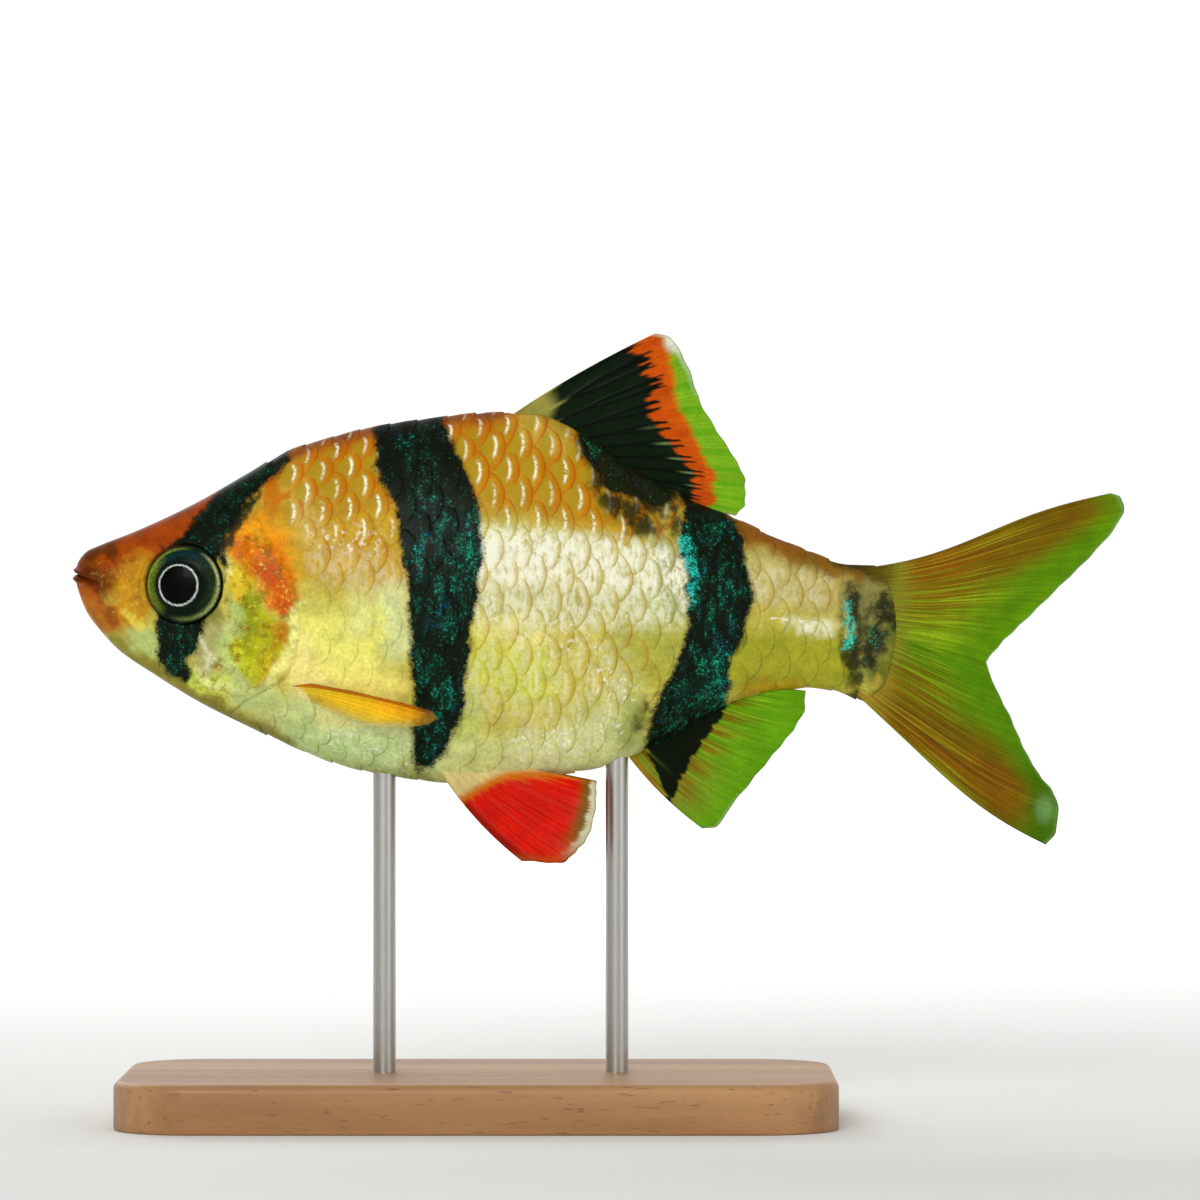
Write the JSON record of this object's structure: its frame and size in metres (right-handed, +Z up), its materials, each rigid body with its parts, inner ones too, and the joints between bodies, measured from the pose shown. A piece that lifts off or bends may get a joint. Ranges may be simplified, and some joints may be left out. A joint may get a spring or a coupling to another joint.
{
  "type": "tiger barb on display stand",
  "caption": "Life-size still model of a tiger barb: deep banded body, large eyes, spread rayed fins and forked tail, on a flat stand with slim rods.",
  "frame": {"origin": "on the floor under the middle of the overall box, where the stand's base rests", "axes": "-X towards the snout and +X towards the tail, +Z up, -Y the fish's left side"},
  "size_m": [0.0649, 0.024, 0.0486],
  "materials": {
    "orange_skin": "satin, like wet skin",
    "golden_skin": "satin with the pearly glint of scales",
    "gill_plate": "smooth and pearly",
    "black_fin": "satin, thin skin over fine rays",
    "green_fin": "satin, thin skin over fine rays",
    "red_fin": "satin, thin skin over fine rays",
    "orange_fin": "satin, thin skin over fine rays",
    "eye": "wet and glossy",
    "wood": "oiled, satin",
    "steel": "fine satin"
  },
  "bodies": {
    "root": {"head": "orange_skin", "torso": "golden_skin", "tail_stalk": "golden_skin", "gill_cover_left": "gill_plate", "gill_cover_right": "gill_plate", "eye_left": "eye", "eye_right": "eye", "pectoral_fin_left": "orange_fin", "pectoral_fin_right": "orange_fin", "pelvic_fin_left": "red_fin", "pelvic_fin_right": "red_fin", "dorsal_fin": "black_fin", "anal_fin": "green_fin", "tail_fin_upper": "green_fin", "tail_fin_lower": "green_fin", "stand_base": "wood", "stand_rod_front": "steel", "stand_rod_rear": "steel"}
  },
  "joints": []
}
